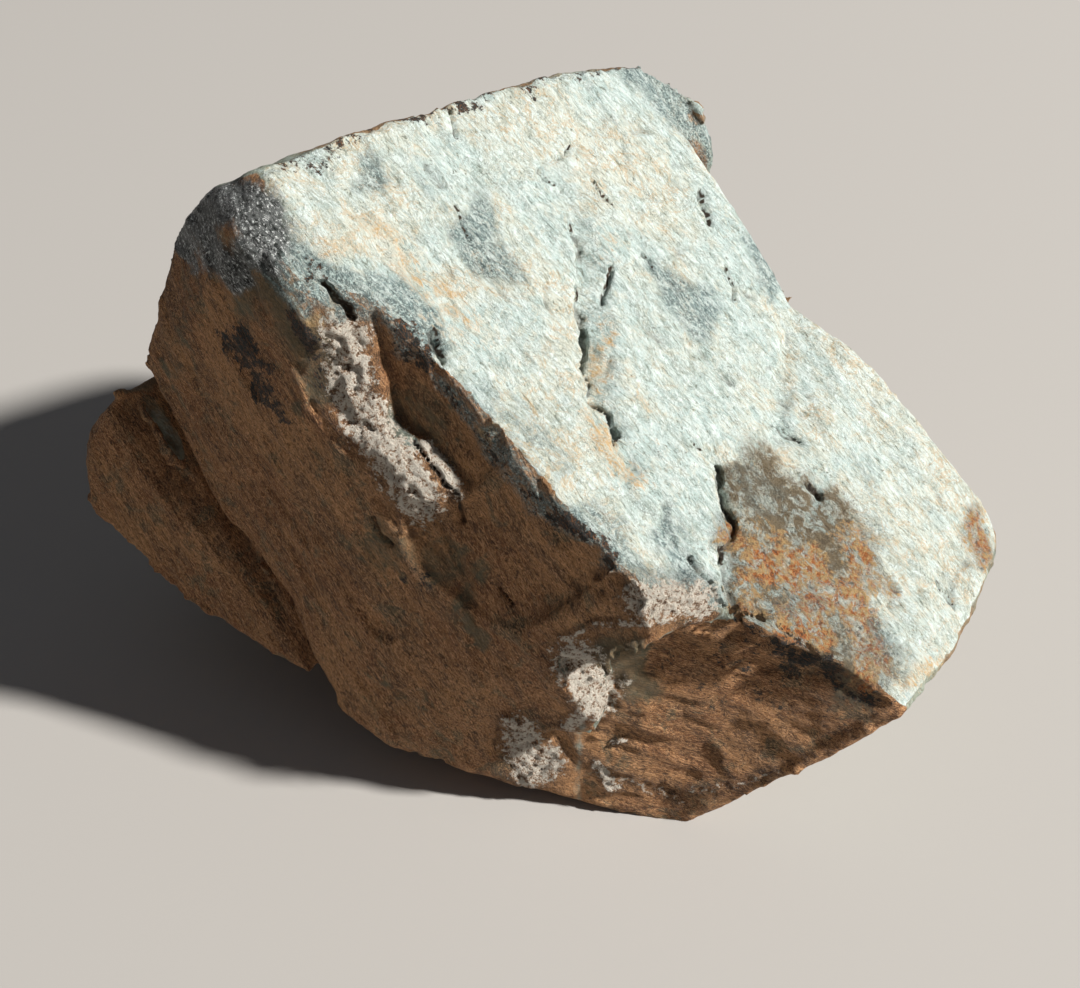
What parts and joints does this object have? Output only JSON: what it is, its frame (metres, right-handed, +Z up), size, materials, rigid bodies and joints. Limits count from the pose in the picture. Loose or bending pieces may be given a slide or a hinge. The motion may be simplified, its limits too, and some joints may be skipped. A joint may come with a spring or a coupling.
{
  "type": "raw jade boulder",
  "caption": "Rough block of raw nephrite jade with a pale sloping break on top, a brown weathered front, a pointed shoulder, a low flange and a flat underside to stand on.",
  "frame": {"origin": "centre of the bounding box at the flat underside", "axes": "+X along the stone's length, from the low flange to the pointed shoulder; -Y towards the brown weathered front; +Z up"},
  "size_m": [0.1719, 0.1174, 0.1118],
  "materials": {
    "weathered_nephrite": "matte"
  },
  "bodies": {
    "root": {"jade_boulder": "weathered_nephrite"}
  },
  "joints": []
}
